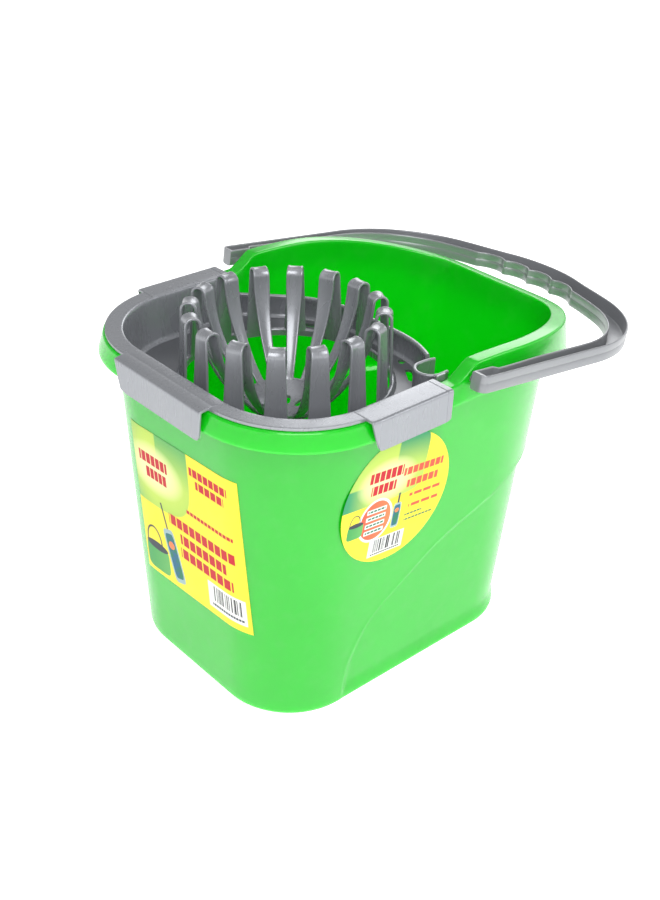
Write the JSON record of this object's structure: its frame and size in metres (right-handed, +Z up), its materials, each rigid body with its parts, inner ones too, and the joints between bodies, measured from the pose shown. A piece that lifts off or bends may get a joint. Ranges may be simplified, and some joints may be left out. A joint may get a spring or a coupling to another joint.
{
  "type": "mop bucket",
  "caption": "Tapered plastic mop bucket with a raised pouring rim, a lift-out finger-cone mop wringer clipped over its front rim and a channel-section swing handle.",
  "frame": {"origin": "centre of the underside of the bucket, where it stands on the floor", "axes": "+Z up, +X towards the raised pouring end, -X towards the wringer end, +Y across the bucket between the handle pivots"},
  "size_m": [0.3943, 0.28, 0.2758],
  "materials": {
    "bucket_green": "glossy, slightly translucent moulded polypropylene",
    "wringer_silver": "satin silver-grey moulded plastic with a metallic flake",
    "handle_grey": "satin grey moulded plastic",
    "sticker_paper": "printed glossy paper sticker"
  },
  "bodies": {
    "bucket": {"bucket_wall": "bucket_green", "bucket_floor": "bucket_green", "front_rim": "bucket_green", "pouring_rim": "bucket_green", "front_sticker": "sticker_paper", "round_sticker": "sticker_paper"},
    "wringer": {"rim_flange": "wringer_silver", "front_clip": "wringer_silver", "near_clip": "wringer_silver", "far_clip": "wringer_silver", "basin_wall": "wringer_silver", "rear_wall": "wringer_silver", "rest_wing": "wringer_silver", "shaft_rest": "wringer_silver", "tray_floor": "wringer_silver", "cone_collar": "wringer_silver", "cone_hub": "wringer_silver", "finger_rib_01": "wringer_silver", "finger_rib_02": "wringer_silver", "finger_rib_03": "wringer_silver", "finger_rib_04": "wringer_silver", "finger_rib_05": "wringer_silver", "finger_rib_06": "wringer_silver", "finger_rib_07": "wringer_silver", "finger_rib_08": "wringer_silver", "finger_rib_09": "wringer_silver", "finger_rib_10": "wringer_silver", "finger_rib_11": "wringer_silver", "finger_rib_12": "wringer_silver", "finger_rib_13": "wringer_silver", "finger_rib_14": "wringer_silver", "finger_rib_15": "wringer_silver", "finger_rib_16": "wringer_silver", "finger_post_01": "wringer_silver", "finger_post_02": "wringer_silver", "finger_post_03": "wringer_silver", "finger_post_04": "wringer_silver", "finger_post_05": "wringer_silver", "finger_post_06": "wringer_silver", "finger_post_07": "wringer_silver", "finger_post_08": "wringer_silver", "finger_post_09": "wringer_silver", "finger_post_10": "wringer_silver", "finger_post_11": "wringer_silver", "finger_post_12": "wringer_silver", "finger_post_13": "wringer_silver", "finger_post_14": "wringer_silver", "finger_post_15": "wringer_silver", "finger_post_16": "wringer_silver"},
    "handle": {"near_arm": "handle_grey", "far_arm": "handle_grey", "grip": "handle_grey", "near_pin": "handle_grey", "far_pin": "handle_grey"}
  },
  "joints": [
    {"name": "wringer_lift", "type": "slide", "parent": "bucket", "child": "wringer", "axis": [0, 0, 1], "range_m": [0, 0.2]},
    {"name": "handle_swing", "type": "hinge", "parent": "bucket", "child": "handle", "pos_m": [0.01, 0, 0.25], "axis": [0, -1, 0], "range_deg": [0, 187]}
  ]
}
